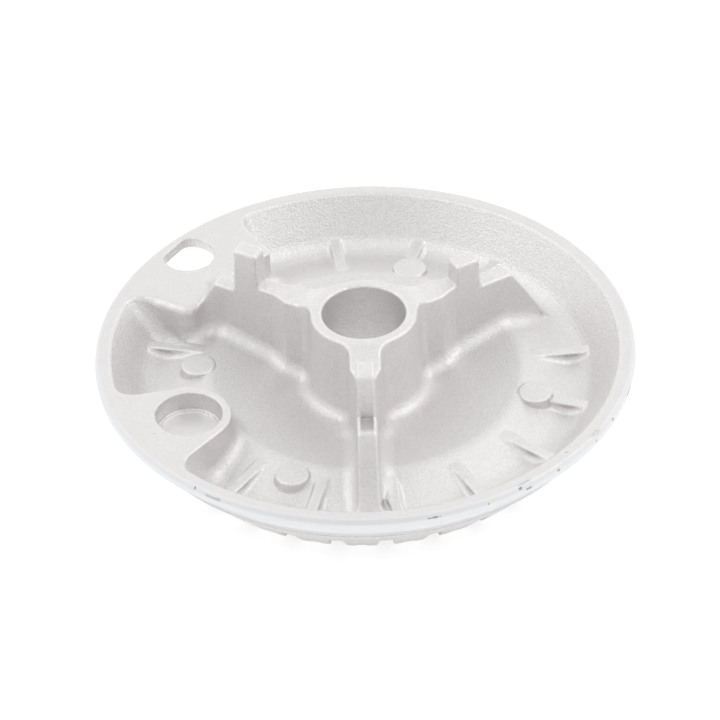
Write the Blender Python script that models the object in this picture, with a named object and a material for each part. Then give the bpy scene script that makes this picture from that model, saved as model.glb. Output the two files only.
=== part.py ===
"""Gas burner crown: a one-piece aluminium die casting, lying underside up.

The frame is in metres with +Z up. The origin is on the crown's axis, in the
plane of the flame-port teeth that the crown stands on here. One locating
spoke points along -Y, the other two stand 120 degrees either side of it.
The length values below are in millimetres and MM turns them into metres.
"""

import math

import bpy
import bmesh
from mathutils import Vector

MM = 0.001
SEGMENTS = 84
WELD = 2e-6
FLAT_ANGLE = math.radians(0.05)

# Edges, fillets and fits
FILLET = 3.0
WALL_FILLET = 5.0
CREST_ROUND = 2.5
EDGE_ROUND = 0.4
EASE = 0.3
SEAT = 0.1
FOOT_SINK = 0.12
BURIED = 0.8
CUT_MARGIN = 1.0
DRAFT = math.tan(math.radians(1.3))

# Heights above the teeth tips, down from the land
RIM = 16.5
HUB_RISE = 7.9
HUB_TOP = RIM + HUB_RISE
WEB_DROP = 1.05
WEB_TOP = HUB_TOP - WEB_DROP
STEP_DROP = 2.15
STEP_TOP = WEB_TOP - STEP_DROP
LONG_PEG_HEIGHT = 7.15
LONG_PEG_TOP = WEB_TOP + LONG_PEG_HEIGHT
SHORT_PEG_HEIGHT = 4.25
SHORT_PEG_TOP = WEB_TOP + SHORT_PEG_HEIGHT
CREST_DROP = 5.7
CREST = RIM - CREST_DROP
DISH_FALL = 3.5
HUB_FOOT = CREST - DISH_FALL
SHELF_FALL = 3.9
WALL_FOOT_HEIGHT = CREST - SHELF_FALL
PAD_TOP = CREST
GUSSET_DROP = 0.8
GUSSET_TOP = CREST - GUSSET_DROP
GUSSET_FALL = 0.065
WALL_HEART_DROP = 4.0
WALL_HEART = RIM - WALL_HEART_DROP
BAND_HEIGHT = 1.9
LEDGE_DROP = 6.45
LEDGE_HEIGHT = RIM - LEDGE_DROP

# Radii of the turned body: the rim and the bore drive the rest
RIM_RADIUS = 50.0
BORE_RADIUS = 7.75
BAND_STEP = 0.5
BAND_RADIUS = RIM_RADIUS + BAND_STEP
LAND_WIDTH = 2.4
LAND_INNER = RIM_RADIUS - LAND_WIDTH
WALL_RUN = 7.07
WALL_FOOT = LAND_INNER - WALL_RUN
SHELF_RUN = 11.13
CREST_RADIUS = WALL_FOOT - SHELF_RUN
CONE_RUN = 4.25
LEDGE_RADIUS = BAND_RADIUS - CONE_RUN
SKIRT_RUN = 2.45
SKIRT_RADIUS = LEDGE_RADIUS - SKIRT_RUN
SKIRT_FALL = 3.55
SKIRT_HEIGHT = LEDGE_HEIGHT - SKIRT_FALL
TEETH_SETBACK = 5.83
TEETH_OUTER = SKIRT_RADIUS - TEETH_SETBACK
TEETH_WIDTH = 6.27
TEETH_INNER = TEETH_OUTER - TEETH_WIDTH
OVERLAP_DEPTH = 1.8
RIM_OVERLAP = RIM_RADIUS - OVERLAP_DEPTH
HUB_WALL = 2.25
HUB_RADIUS = BORE_RADIUS + HUB_WALL
HUB_TAPER = 0.45
HUB_FOOT_RADIUS = HUB_RADIUS + HUB_TAPER

# Gas side: roof of the chamber and the collar around the bore
COLLAR_WALL = 2.85
COLLAR_RADIUS = BORE_RADIUS + COLLAR_WALL
COLLAR_HEIGHT = 2.9
COLLAR_EDGE = 0.8
FLOOR_SKIN = 3.0
ROOF_INNER = HUB_FOOT - FLOOR_SKIN + EASE
ROOF_OUTER = CREST - FLOOR_SKIN
ROOF_EDGE = ROOF_OUTER - COLLAR_EDGE
ROOF_CORNER = 2.1

# Locating spokes: places along them are shares of the run from hub to wall foot
WEB_HALF = 1.72
NECK_HALF = 2.95
SHOULDER_HALF = 3.55
ROOT_SPREAD = 0.9
ROOT_HALF = SHOULDER_HALF + ROOT_SPREAD
ROOT_DEPTH = 1.3
NECK_RISE = 0.0262
NECK_START = 0.0655
NECK_END = 0.1670
WEB_START = 0.2817
STEP_END = 0.7042
SLOPE_END = 0.9532
SLOPE_FOOT_DROP = 1.3
SLOPE_FOOT = CREST - SLOPE_FOOT_DROP
SLOPE_RUN_OUT = 0.9
SPREAD_FIRST = 0.6
SPREAD_MIDDLE = 1.6
SPREAD_LAST = 3.4
LONG_PEG = (0.3849, 0.5617, LONG_PEG_TOP)
SHORT_PEG = (0.3013, 0.4782, SHORT_PEG_TOP)
SPOKES = ((-90.0, LONG_PEG), (30.0, SHORT_PEG), (150.0, LONG_PEG))
NOTCH_HALF = 1.08
NOTCH_DEPTH = 0.5
NOTCH_SHARE = 0.69

# Small gussets between the shelf and the wall, on a sixteenth pitch
GUSSET_PITCH = 22.5
GUSSET_FIRST = 7.3
GUSSET_PLACES = (0, 2, 3, 4, 7, 10, 11, 12, 13, 14, 15)
GUSSET_HALF = 1.05
GUSSET_FLARE = 1.5
GUSSET_SETBACK = 0.9
GUSSET_INNER = CREST_RADIUS + GUSSET_SETBACK
GUSSET_BITE = 2.4
GUSSET_OUTER = WALL_FOOT + GUSSET_BITE
GUSSET_SPREAD = 1.6

PAD_RADIUS = 3.2
PAD_SETBACK = 2.9
PAD_PLACE = CREST_RADIUS + PAD_SETBACK
PADS = ((-115.3, 0.35), (-15.0, 0.0), (73.6, 0.1), (175.0, 0.45))

# Flange around the electrode hole
FLANGE_DIRECTION = 150.0
FLANGE_THICKNESS = 2.3
FLANGE_NEAR_SIDE = 6.45
FLANGE_LENGTH = 16.0
FLANGE_INNER = RIM_RADIUS - FLANGE_LENGTH
FLANGE_CORNER = 2.2
FLANGE_FAR_DIRECTION = 120.6
HOLE_RADIUS = 4.9
HOLE_DIRECTION = 138.3
HOLE_SETBACK = 5.4
HOLE_PLACE = RIM_RADIUS - HOLE_SETBACK
HOLE_FLAT_DEPTH = 1.24
HOLE_FLAT = HOLE_RADIUS - HOLE_FLAT_DEPTH
HOLE_FLAT_DIRECTION = 145.0
RELIEF_WALL = 2.3
RELIEF_SETBACK = 5.0
RELIEF_INNER = FLANGE_INNER + RELIEF_SETBACK

# Blind pocket and its boss
POCKET_DIRECTION = -150.3
POCKET_SETBACK = 12.5
POCKET_PLACE = RIM_RADIUS - POCKET_SETBACK
POCKET_RADIUS = 6.0
POCKET_DEPTH = 3.75
POCKET_STEP = 0.45
BOSS_WALL = 1.9
BOSS_RADIUS = POCKET_RADIUS + BOSS_WALL
BOSS_SPREAD = 13.8
BOSS_SWEEP = 150.0

# Flame ports: deep and shallow slots take turns around the ring of teeth
PORT_PAIRS = 28
DEEP_PORT_FIRST = -85.97
SHALLOW_PORT_FIRST = -92.4
DEEP_PORT_HALF = 1.2
SHALLOW_PORT_HALF = 0.8
SHALLOW_PORT_DEPTH = 0.65
PORT_ROOF_INNER = 7.3
PORT_ROOF_OUTER = 4.3
PORT_INNER_REACH = 2.5
PORT_START = TEETH_INNER - PORT_INNER_REACH
PORT_OUTER_REACH = 4.53
PORT_END = TEETH_OUTER + PORT_OUTER_REACH
PORT_DRAFT = 0.05


def polar(radius, degrees, height=0.0):
    """Point on a circle about the crown's axis."""
    angle = math.radians(degrees)
    return Vector((radius * math.cos(angle), radius * math.sin(angle), height))


def along(direction, reach, offset, height=0.0):
    """Point given by its reach along a direction and its offset to the left."""
    angle = math.radians(direction)
    x = reach * math.cos(angle) - offset * math.sin(angle)
    y = reach * math.sin(angle) + offset * math.cos(angle)
    return Vector((x, y, height))


def line_height(start, end, radius):
    """Height at a radius on the straight line through two (radius, height) points."""
    share = (radius - start[0]) / (end[0] - start[0])
    return start[1] + share * (end[1] - start[1])


def floor_height(radius):
    """Height of the dish floor, running on into the wall's thickness past its foot."""
    hub_foot = (HUB_FOOT_RADIUS + FILLET, HUB_FOOT)
    crest = (CREST_RADIUS, CREST)
    wall_foot = (WALL_FOOT, WALL_FOOT_HEIGHT)
    inside_wall = (RIM_RADIUS, WALL_HEART)
    if radius < CREST_RADIUS:
        return line_height(hub_foot, crest, radius)
    if radius < WALL_FOOT:
        return line_height(crest, wall_foot, radius)
    return line_height(wall_foot, inside_wall, radius)


def rounded(corner, before, after, radius, steps):
    """Arc of a given radius that blends the corner between two straight runs."""
    corner = Vector(corner)
    to_before = (Vector(before) - corner).normalized()
    to_after = (Vector(after) - corner).normalized()
    half = to_before.angle(to_after) / 2
    centre = corner + (to_before + to_after).normalized() * radius / math.sin(half)
    first = corner + to_before * radius / math.tan(half) - centre
    last = corner + to_after * radius / math.tan(half) - centre
    return [centre + first.slerp(last, i / steps).normalized() * radius for i in range(steps + 1)]


def crown_profile():
    """Closed section of the turned body as (radius, height) points."""
    crest = (CREST_RADIUS, CREST)
    hub_corner = (HUB_FOOT_RADIUS, floor_height(HUB_FOOT_RADIUS))
    wall_corner = (WALL_FOOT, WALL_FOOT_HEIGHT)
    land = (LAND_INNER, RIM)
    points = [(BORE_RADIUS, HUB_TOP - EASE), (BORE_RADIUS + EASE, HUB_TOP)]
    points += [(HUB_RADIUS - EDGE_ROUND, HUB_TOP), (HUB_RADIUS, HUB_TOP - EDGE_ROUND)]
    points += rounded(hub_corner, (HUB_RADIUS, HUB_TOP), crest, FILLET, 3)
    points += rounded(crest, hub_corner, wall_corner, CREST_ROUND, 1)
    points += rounded(wall_corner, crest, land, WALL_FILLET, 4)
    points += [land, (RIM_RADIUS - SEAT, RIM), (BAND_RADIUS - SEAT, RIM - 2 * EDGE_ROUND)]
    points += [(BAND_RADIUS, RIM - BAND_HEIGHT), (LEDGE_RADIUS, LEDGE_HEIGHT)]
    points += [(LEDGE_RADIUS + SEAT, LEDGE_HEIGHT - EASE), (SKIRT_RADIUS, SKIRT_HEIGHT)]
    points += [(TEETH_OUTER + EASE, EASE), (TEETH_OUTER, 0.0), (TEETH_INNER, 0.0)]
    points += [(TEETH_INNER - COLLAR_EDGE, ROOF_EDGE)]
    points += [(TEETH_INNER - COLLAR_EDGE - ROOF_CORNER, ROOF_OUTER)]
    points += [(COLLAR_RADIUS + 2.5 * EDGE_ROUND, ROOF_INNER), (COLLAR_RADIUS, COLLAR_HEIGHT)]
    points += [(BORE_RADIUS + COLLAR_EDGE, COLLAR_HEIGHT)]
    points += [(BORE_RADIUS, COLLAR_HEIGHT + COLLAR_EDGE)]
    return [(point[0], point[1]) for point in points]


def new_object(name, bm):
    """Object in metres from a bmesh drawn in millimetres."""
    bmesh.ops.scale(bm, vec=(MM, MM, MM), verts=bm.verts)
    bmesh.ops.triangulate(bm, faces=bm.faces)
    bmesh.ops.recalc_face_normals(bm, faces=bm.faces)
    mesh = bpy.data.meshes.new(name)
    bm.to_mesh(mesh)
    bm.free()
    shape = bpy.data.objects.new(name, mesh)
    bpy.context.collection.objects.link(shape)
    return shape


def combine(target, tool, operation):
    """Apply a Boolean of the tool to the target and remove the tool."""
    modifier = target.modifiers.new(tool.name, "BOOLEAN")
    modifier.operation = operation
    modifier.object = tool
    depsgraph = bpy.context.evaluated_depsgraph_get()
    result = bpy.data.meshes.new_from_object(target.evaluated_get(depsgraph))
    bm = bmesh.new()
    bm.from_mesh(result)
    bmesh.ops.triangulate(bm, faces=bm.faces)
    bm.to_mesh(result)
    bm.free()
    target.modifiers.clear()
    used = target.data
    target.data = result
    bpy.data.meshes.remove(used)
    tool_mesh = tool.data
    bpy.data.objects.remove(tool)
    bpy.data.meshes.remove(tool_mesh)


def merge_flat_faces(shape):
    """Weld stray short edges and dissolve the seams inside flat faces."""
    bm = bmesh.new()
    bm.from_mesh(shape.data)
    bmesh.ops.remove_doubles(bm, verts=bm.verts, dist=WELD)
    bmesh.ops.dissolve_degenerate(bm, edges=bm.edges, dist=WELD)
    bmesh.ops.dissolve_limit(bm, angle_limit=FLAT_ANGLE, verts=bm.verts, edges=bm.edges)
    bmesh.ops.triangulate(bm, faces=bm.faces)
    bm.to_mesh(shape.data)
    bm.free()


def turned(name, profile):
    """Closed section spun once about the crown's axis."""
    bm = bmesh.new()
    ring = [bm.verts.new((radius, 0.0, height)) for radius, height in profile]
    edges = [bm.edges.new((ring[i - 1], ring[i])) for i in range(len(ring))]
    bmesh.ops.spin(
        bm,
        geom=ring + edges,
        cent=(0.0, 0.0, 0.0),
        axis=(0.0, 0.0, 1.0),
        angle=math.tau,
        steps=SEGMENTS,
        use_merge=True,
    )
    bmesh.ops.remove_doubles(bm, verts=bm.verts, dist=0.0001)
    return new_object(name, bm)


def lofted(name, sections):
    """Solid through closed rings that all have the same number of points."""
    bm = bmesh.new()
    rings = [[bm.verts.new(point) for point in section] for section in sections]
    count = len(rings[0])
    for near, far in zip(rings, rings[1:]):
        for i in range(count):
            bm.faces.new((near[i - 1], near[i], far[i], far[i - 1]))
    bm.faces.new(rings[0])
    bm.faces.new(reversed(rings[-1]))
    return new_object(name, bm)


def foot_flare(width, flare):
    """Offsets from the wall and heights over the floor of a concave foot fillet."""
    arc = []
    for turn in (0, 30, 60):
        angle = math.radians(turn)
        arc.append((width + flare * (1 - math.cos(angle)), flare * (1 - math.sin(angle))))
    arc.append((width + flare, -FOOT_SINK))
    return arc


def rib_section(direction, reach, half, top, flare):
    """Ring across a rib: drafted sides, eased top edges and a flared foot."""
    floor = floor_height(reach)
    wall = half + max(top - floor, 0.0) * DRAFT
    side = [(half - EASE, top), (half, top - EASE)]
    for width, lift in reversed(foot_flare(0.0, flare)):
        foot = floor_height(math.hypot(reach, wall + width)) + lift
        side.insert(2, (wall + width, min(foot, top - EDGE_ROUND)))
    buried = floor_height(math.hypot(reach, wall + flare)) - BURIED
    side.append((wall + flare, buried))
    left = [along(direction, reach, width, height) for width, height in side]
    right = [along(direction, reach, -width, height) for width, height in reversed(side)]
    return left + right


def reach_at(share):
    """Reach along a spoke at a share of the run from the hub to the wall's foot."""
    return HUB_RADIUS + share * (WALL_FOOT - HUB_RADIUS)


def spoke(direction, peg):
    """Web from the hub to the wall, with its raised peg, step and slope."""
    peg_start, peg_end, peg_top = reach_at(peg[0]), reach_at(peg[1]), peg[2]
    slope_end = reach_at(SLOPE_END)
    outline = [
        (HUB_RADIUS - ROOT_DEPTH, ROOT_HALF, HUB_TOP - SEAT, 0.0),
        (HUB_RADIUS - SEAT, SHOULDER_HALF, HUB_TOP - 2 * SEAT, 0.0),
        (reach_at(NECK_RISE), NECK_HALF + EASE / 2, WEB_TOP + EASE, 0.0),
        (reach_at(NECK_START), NECK_HALF, WEB_TOP, 0.0),
        (reach_at(NECK_END), NECK_HALF, WEB_TOP, 0.0),
        (reach_at(WEB_START) - BURIED, WEB_HALF + EASE, WEB_TOP, 0.0),
        (reach_at(WEB_START), WEB_HALF + SEAT, WEB_TOP, 0.0),
        (peg_start, WEB_HALF + SEAT, WEB_TOP, 0.0),
        (peg_start + EASE, WEB_HALF - EASE, peg_top - EASE, 0.0),
        (peg_start + 3 * EASE, WEB_HALF, peg_top, 0.0),
        (peg_end - EDGE_ROUND, WEB_HALF, peg_top, 0.0),
        (peg_end - EASE / 2, WEB_HALF, peg_top - EASE, 0.0),
        (peg_end, WEB_HALF + SEAT, STEP_TOP, 0.0),
        (reach_at(STEP_END), WEB_HALF + SEAT, STEP_TOP, 0.0),
        (slope_end, WEB_HALF + 2 * SEAT, SLOPE_FOOT, SPREAD_FIRST),
        (WALL_FOOT + SLOPE_RUN_OUT, WEB_HALF + 2 * SEAT, SLOPE_FOOT, SPREAD_MIDDLE),
        (WALL_FOOT + 2.5 * SLOPE_RUN_OUT, WEB_HALF + 2 * SEAT, SLOPE_FOOT - 2 * SEAT, SPREAD_LAST),
    ]
    sections = []
    for reach, half, top, spread in outline:
        sections.append(rib_section(direction, reach, half, top, FILLET + spread))
    return lofted("spoke", sections)


def gusset(direction):
    """Low rib with a nearly level top, from the shelf to the wall."""
    middle = (GUSSET_INNER + WALL_FOOT) / 2
    stops = ((GUSSET_INNER, 0.0), (middle, 0.0), (WALL_FOOT, 2 * SEAT), (GUSSET_OUTER, GUSSET_SPREAD))
    sections = []
    for reach, spread in stops:
        top = GUSSET_TOP - GUSSET_FALL * (reach - GUSSET_INNER)
        flare = GUSSET_FLARE + spread
        sections.append(rib_section(direction, reach, GUSSET_HALF, top, flare))
    return lofted("gusset", sections)


def pad(direction, drop):
    """Round ejector pad with an eased edge, a little lower than the crest."""
    top = PAD_TOP - drop
    middle = polar(PAD_PLACE, direction)
    foot = [middle + polar(PAD_RADIUS + EASE / 2, 18 * i) for i in range(20)]
    sections = [[Vector((p.x, p.y, floor_height(p.length) - BURIED)) for p in foot]]
    for radius, height in ((PAD_RADIUS, top - EASE), (PAD_RADIUS - EASE, top)):
        sections.append([middle + polar(radius, 18 * i, height) for i in range(20)])
    return lofted("pad", sections)


def rim_arc(start, end):
    """Points just inside the rim, between two directions."""
    steps = math.ceil(abs(end - start) / 5)
    return [polar(RIM_OVERLAP, start + (end - start) * i / steps) for i in range(steps + 1)]


def outward_offsets(outline, distance):
    """Outline moved outwards by a distance, corner by corner, but kept inside the rim."""
    moved = []
    for i, point in enumerate(outline):
        before = (point - outline[i - 1]).normalized()
        after = (outline[(i + 1) % len(outline)] - point).normalized()
        normal = Vector((before.y + after.y, -before.x - after.x)).normalized()
        stretch = 1 / max(normal.dot(Vector((before.y, -before.x))), 0.5)
        corner = point + normal * distance * stretch
        moved.append(corner * min(1.0, RIM_OVERLAP / corner.length))
    return moved


def boss(name, outline, flare):
    """Raised boss, level with the land, whose flared foot follows the dish floor."""
    rings = []
    rings.append([Vector((p.x, p.y, RIM)) for p in outward_offsets(outline, -EASE)])
    rings.append([Vector((p.x, p.y, RIM - EASE)) for p in outline])
    for width, lift in foot_flare(2 * SEAT, flare):
        ring = outward_offsets(outline, width)
        rings.append([Vector((p.x, p.y, floor_height(p.length) + lift)) for p in ring])
    last = outward_offsets(outline, 2 * SEAT + flare)
    rings.append([Vector((p.x, p.y, floor_height(p.length) - BURIED)) for p in last])
    return lofted(name, rings)


def flange_outline():
    """Plan of the flange: rim, far side, inner arc, then near side."""
    near = FLANGE_DIRECTION + math.degrees(math.asin(FLANGE_NEAR_SIDE / RIM_OVERLAP))
    points = rim_arc(near, FLANGE_FAR_DIRECTION)
    points.append(polar(FLANGE_INNER + 2 * EDGE_ROUND, FLANGE_FAR_DIRECTION))
    for degrees in (122.0, 128.0, 134.0, 140.0, 146.0):
        points.append(polar(FLANGE_INNER, degrees))
    middle = FLANGE_INNER + FLANGE_CORNER / 2
    points.append(along(FLANGE_DIRECTION, FLANGE_INNER, FLANGE_NEAR_SIDE - 2 * FLANGE_CORNER))
    points.append(along(FLANGE_DIRECTION, middle, FLANGE_NEAR_SIDE - EDGE_ROUND * FLANGE_CORNER))
    points.append(along(FLANGE_DIRECTION, FLANGE_INNER + FLANGE_CORNER, FLANGE_NEAR_SIDE))
    return [point.to_2d() for point in reversed(points)]


def pocket_outline():
    """Plan of the pocket's boss: a round end that spreads towards the rim."""
    points = rim_arc(POCKET_DIRECTION + BOSS_SPREAD, POCKET_DIRECTION - BOSS_SPREAD)
    centre = polar(POCKET_PLACE, POCKET_DIRECTION)
    first = POCKET_DIRECTION - 180 + BOSS_SWEEP / 2
    for i in range(11):
        points.append(centre + polar(BOSS_RADIUS, first - BOSS_SWEEP / 10 * i))
    return [point.to_2d() for point in reversed(points)]


def straight_cutter(name, outline, low, high):
    """Upright prism over an outline."""
    return lofted(name, [[Vector((p.x, p.y, z)) for p in outline] for z in (low, high)])


def round_cutter(name, centre, radius, low, high):
    """Upright cylinder."""
    outline = [centre.to_2d() + polar(radius, 10 * i).to_2d() for i in range(36)]
    return straight_cutter(name, outline, low, high)


def electrode_hole():
    """Round hole with one flat towards the rim."""
    centre = polar(HOLE_PLACE, HOLE_DIRECTION)
    reach = math.degrees(math.acos(HOLE_FLAT / HOLE_RADIUS))
    span = 360 - 2 * reach
    outline = []
    for i in range(25):
        degrees = HOLE_FLAT_DIRECTION + reach + span * i / 24
        outline.append((centre + polar(HOLE_RADIUS, degrees)).to_2d())
    return straight_cutter("electrode_hole", outline, 0.0, RIM + CUT_MARGIN)


def electrode_relief():
    """Space under the flange, open downwards and outwards."""
    far = FLANGE_FAR_DIRECTION + math.degrees(RELIEF_WALL / RELIEF_INNER)
    near_offset = FLANGE_NEAR_SIDE - RELIEF_WALL
    near = FLANGE_DIRECTION + math.degrees(math.asin(near_offset / RELIEF_INNER))
    outline = [polar(RELIEF_INNER, near + (far - near) * i / 6) for i in range(7)]
    outside = BAND_RADIUS + 2 * CUT_MARGIN
    outline.append(polar(outside, far))
    outline.append(along(FLANGE_DIRECTION, outside, near_offset))
    return straight_cutter("electrode_relief", outline, -CUT_MARGIN, RIM - FLANGE_THICKNESS)


def port_cutter(name, first, half, inner_roof, outer_roof):
    """Ring of drafted radial slots that open downwards through the teeth."""
    bm = bmesh.new()
    for i in range(PORT_PAIRS):
        direction = first + 360 / PORT_PAIRS * i
        ends = []
        for reach, roof in ((PORT_START, inner_roof), (PORT_END, outer_roof)):
            flank = half + PORT_DRAFT * (roof + CUT_MARGIN)
            across = ((half, roof), (flank, -CUT_MARGIN), (-flank, -CUT_MARGIN), (-half, roof))
            ends.append([bm.verts.new(along(direction, reach, w, z)) for w, z in across])
        for k in range(4):
            bm.faces.new((ends[0][k - 1], ends[0][k], ends[1][k], ends[1][k - 1]))
        bm.faces.new(ends[0])
        bm.faces.new(reversed(ends[1]))
    return new_object(name, bm)


def step_notch():
    """Small square recess in the front spoke's step, against its peg."""
    start = reach_at(LONG_PEG[1]) - SEAT
    end = start + NOTCH_SHARE * (reach_at(STEP_END) - start)
    outline = [along(-90.0, start, -NOTCH_HALF), along(-90.0, end, -NOTCH_HALF)]
    outline += [along(-90.0, end, NOTCH_HALF), along(-90.0, start, NOTCH_HALF)]
    return straight_cutter("step_notch", outline, STEP_TOP - NOTCH_DEPTH, STEP_TOP + CUT_MARGIN)


def aluminium():
    """Bead-blasted cast aluminium."""
    material = bpy.data.materials.new("cast_aluminium")
    material.use_nodes = True
    shader = material.node_tree.nodes["Principled BSDF"]
    shader.inputs["Base Color"].default_value = (0.66, 0.65, 0.64, 1.0)
    shader.inputs["Metallic"].default_value = 1.0
    shader.inputs["Roughness"].default_value = 0.5
    return material


def burner_crown():
    """The whole casting."""
    crown = turned("burner_crown", crown_profile())
    combine(crown, boss("flange", flange_outline(), FILLET), "UNION")
    combine(crown, boss("pocket_boss", pocket_outline(), FILLET), "UNION")
    for layout in SPOKES:
        combine(crown, spoke(*layout), "UNION")
    for place in GUSSET_PLACES:
        combine(crown, gusset(GUSSET_FIRST + GUSSET_PITCH * place), "UNION")
    for layout in PADS:
        combine(crown, pad(*layout), "UNION")

    pocket = polar(POCKET_PLACE, POCKET_DIRECTION)
    floor = RIM - POCKET_DEPTH
    well = round_cutter("pocket", pocket, POCKET_RADIUS, floor, RIM + CUT_MARGIN)
    combine(crown, well, "DIFFERENCE")
    inner = POCKET_RADIUS - EDGE_ROUND
    combine(crown, round_cutter("dimple", pocket, inner, floor - POCKET_STEP, RIM), "DIFFERENCE")
    combine(crown, electrode_relief(), "DIFFERENCE")
    combine(crown, electrode_hole(), "DIFFERENCE")
    combine(crown, step_notch(), "DIFFERENCE")

    deep = port_cutter("deep", DEEP_PORT_FIRST, DEEP_PORT_HALF, PORT_ROOF_INNER, PORT_ROOF_OUTER)
    combine(crown, deep, "DIFFERENCE")
    roof = SHALLOW_PORT_DEPTH
    shallow = port_cutter("shallow", SHALLOW_PORT_FIRST, SHALLOW_PORT_HALF, roof, roof)
    combine(crown, shallow, "DIFFERENCE")
    merge_flat_faces(crown)

    crown.data.materials.clear()
    crown.data.materials.append(aluminium())
    crown.data.shade_smooth()
    crown.data.set_sharp_from_angle(angle=math.radians(32))
    return crown


def main():
    for existing in list(bpy.data.objects):
        bpy.data.objects.remove(existing, do_unlink=True)
    burner_crown()


main()
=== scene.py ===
import math

import bpy
import numpy as np
from mathutils import Matrix, Vector


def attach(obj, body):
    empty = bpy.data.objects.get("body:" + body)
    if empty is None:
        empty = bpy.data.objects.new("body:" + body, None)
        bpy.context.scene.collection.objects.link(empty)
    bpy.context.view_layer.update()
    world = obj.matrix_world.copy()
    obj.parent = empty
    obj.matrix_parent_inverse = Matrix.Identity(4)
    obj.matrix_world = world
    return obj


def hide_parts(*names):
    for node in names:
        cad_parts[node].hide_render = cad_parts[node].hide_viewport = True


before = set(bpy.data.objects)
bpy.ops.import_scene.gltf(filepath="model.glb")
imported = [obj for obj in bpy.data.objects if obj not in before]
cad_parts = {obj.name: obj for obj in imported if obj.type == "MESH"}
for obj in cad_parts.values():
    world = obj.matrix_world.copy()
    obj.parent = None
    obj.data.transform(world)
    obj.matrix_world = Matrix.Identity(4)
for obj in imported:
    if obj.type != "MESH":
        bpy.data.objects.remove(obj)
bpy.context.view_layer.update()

# The casting is drawn in millimetres on its own axis, +Z up, teeth tips at zero.
MM = 0.001

RIM = 16.5
HUB_TOP = 24.4
WEB_TOP = 23.35
STEP_TOP = 21.2
LONG_PEG_TOP = 30.5
SHORT_PEG_TOP = 27.6
GUSSET_TOP = 10.2
GUSSET_FALL = 0.05

HUB_RADIUS = 10.0
HUB_DRAFT = 0.0293
BORE_RADIUS = 7.75
LAND_INNER = 47.6
LAND_WIDTH = 1.7
BAND_RADIUS = 50.5
TEETH_OUTER = 37.97
TEETH_INNER = 31.7

# How far outlines are drawn on past the casting: inwards, outwards, up and down
FAR_IN = -30.0
FAR_OUT = 62.0
FAR_UP = 60.0
FAR_DOWN = -60.0
FAR_PLAN = 60.0

FILLET = 3.0
WALL_FILLET = 5.0
CREST_ROUND = 4.0
GUSSET_FILLET = 1.1
PAD_FILLET = 0.2
NECK_FILLET = 2.2
LAND_EDGE_ROUND = 0.45
FLANGE_EDGE_SOFT = 1.3
UPRIGHT_EDGE_ROUND = 0.6
EDGE_ROUND = 0.3
RELIEF_EDGE_ROUND = 0.25
PORT_EDGE_ROUND = 0.15
SHARP_EDGE_ROUND = 0.12
DRAFT = math.tan(math.radians(1.3))

HUB_FLOOR = (13.45, 7.3)
CREST = (29.4, 10.8)
WALL_FOOT = (40.53, 6.9)
LAND_EDGE = (LAND_INNER, RIM)
WALL_RUN = (LAND_EDGE[0] - WALL_FOOT[0]) / (LAND_EDGE[1] - WALL_FOOT[1])

WEB_HALF = 1.74
NECK_HALF = 2.95
NECK_START = 9.8
NECK_END = 12.8
PEG_START_LEAN = 0.3
PEG_END_LEAN = 0.2
SPOKE_END = 47.0
STEP_END = (31.5, STEP_TOP)
SLOPE_END = (38.55, 9.3)
SLOPE_FILLET = 1.2

# Each spoke: direction, its peg's start and end along the spoke, and the peg's top
SPOKES = (
    (-90.0, 21.75, 27.15, LONG_PEG_TOP),
    (30.0, 19.2, 24.6, SHORT_PEG_TOP),
    (150.0, 21.75, 27.15, LONG_PEG_TOP),
)

NOTCH_HALF = 1.08
NOTCH_LENGTH = 3.1
NOTCH_DEPTH = 0.5
NOTCH_OVERLAP = 0.1

# Half the spoke's width along its reach, and how much of the foot's fillet is left on the way
# out to the wall, for the front spoke and for the other two
SPOKE_HALVES = (
    (10.0, NECK_HALF), (15.3, NECK_HALF), (17.7, WEB_HALF + 0.33),
    (18.8, WEB_HALF + 0.08), (43.0, WEB_HALF),
)
FOOT_SHARE = ((34.0, 1.0), (36.5, 0.7), (38.0, 0.35), (40.0, 0.08))
FRONT_FOOT_SHARE = ((34.0, 1.0), (38.5, 0.8), (40.5, 0.5), (42.0, 0.15))

GUSSET_PITCH = 22.5
GUSSET_FIRST = 7.3
GUSSET_PLACES = (0, 2, 3, 4, 7, 10, 11, 12, 13, 14, 15)
GUSSET_HALF = 1.0
GUSSET_INNER = 30.3
GUSSET_FOOT_SHARE = ((30.5, 0.1), (33.5, 0.9), (37.5, 1.0), (40.5, 1.0), (42.5, 0.5))
PAD_RADIUS = 3.15
PAD_DRAFT = 0.06

# How far to each side of a gusset's or a pad's middle the dish can feel it
RIB_REACH = 6.0

# Each pad: direction, distance from the axis, and height of its top
PADS = ((-115.3, 32.6, 10.6), (-15.0, 32.5, 10.95), (73.6, 32.0, 10.9), (175.0, 31.6, 10.98))

FLANGE_DIRECTION = 150.0
FLANGE_THICKNESS = 2.3
FLANGE_NEAR_SIDE = 6.45
FLANGE_INNER = 34.0
FLANGE_FAR_DIRECTION = 120.6
FLANGE_CORNER = 2.2
FLANGE_DRAFT = 0.02

# How far the flange's inner side is drawn in by direction, and where its near edge is soft,
# by the offset from the flange's direction and by the reach along it
FLANGE_DRAWN_IN = ((134.0, 0.0), (146.0, 1.9))
FLANGE_STATIONS = (146.0, 143.0, 140.0, 137.0, 134.0, 131.0, 128.0, 125.0, 122.5)
SOFT_OFFSETS = ((3.0, 0.0), (5.0, 1.0), (8.5, 1.0), (11.0, 0.0))
SOFT_REACHES = ((28.0, 0.0), (30.0, 1.0), (42.0, 1.0), (46.0, 0.0))

HOLE_RADIUS = 4.9
HOLE_DIRECTION = 138.3
HOLE_PLACE = 44.6
HOLE_FLAT = 3.66
HOLE_FLAT_DIRECTION = 145.0
RELIEF_INNER = 39.0
RELIEF_WALL = 2.3

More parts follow.
